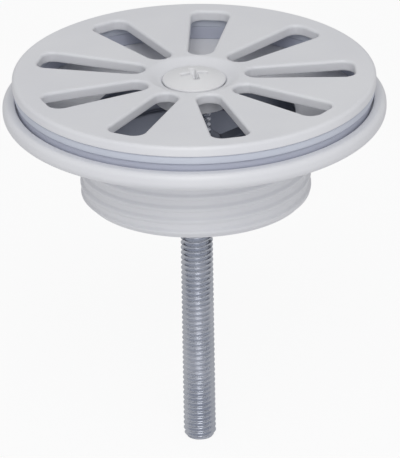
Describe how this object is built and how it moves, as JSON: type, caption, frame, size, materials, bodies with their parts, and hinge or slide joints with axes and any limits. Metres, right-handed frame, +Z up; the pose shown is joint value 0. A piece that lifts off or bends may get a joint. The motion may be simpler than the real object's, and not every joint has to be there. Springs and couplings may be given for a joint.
{
  "type": "free-flow basin waste",
  "caption": "Free-flow basin waste: a slotted grid disc over a flanged body with a threaded outlet, clamped by one long central screw.",
  "frame": {"origin": "on the axis, in the plane where the upper seal meets the basin", "axes": "+Z up along the axis of the waste, out of the grid; +Y through the middle of one slot"},
  "size_m": [0.0696, 0.0696, 0.0721],
  "materials": {
    "white_coat": "satin white coating",
    "upper_seal": "matt pale rubber",
    "lower_seal": "matt grey rubber",
    "body_coat": "satin white coating",
    "screw_steel": "bright zinc plate, white coated head"
  },
  "bodies": {
    "root": {"grid_disc": "white_coat", "upper_seal": "upper_seal", "lower_seal": "lower_seal", "body": "body_coat", "clamp_screw": "screw_steel"}
  },
  "joints": []
}
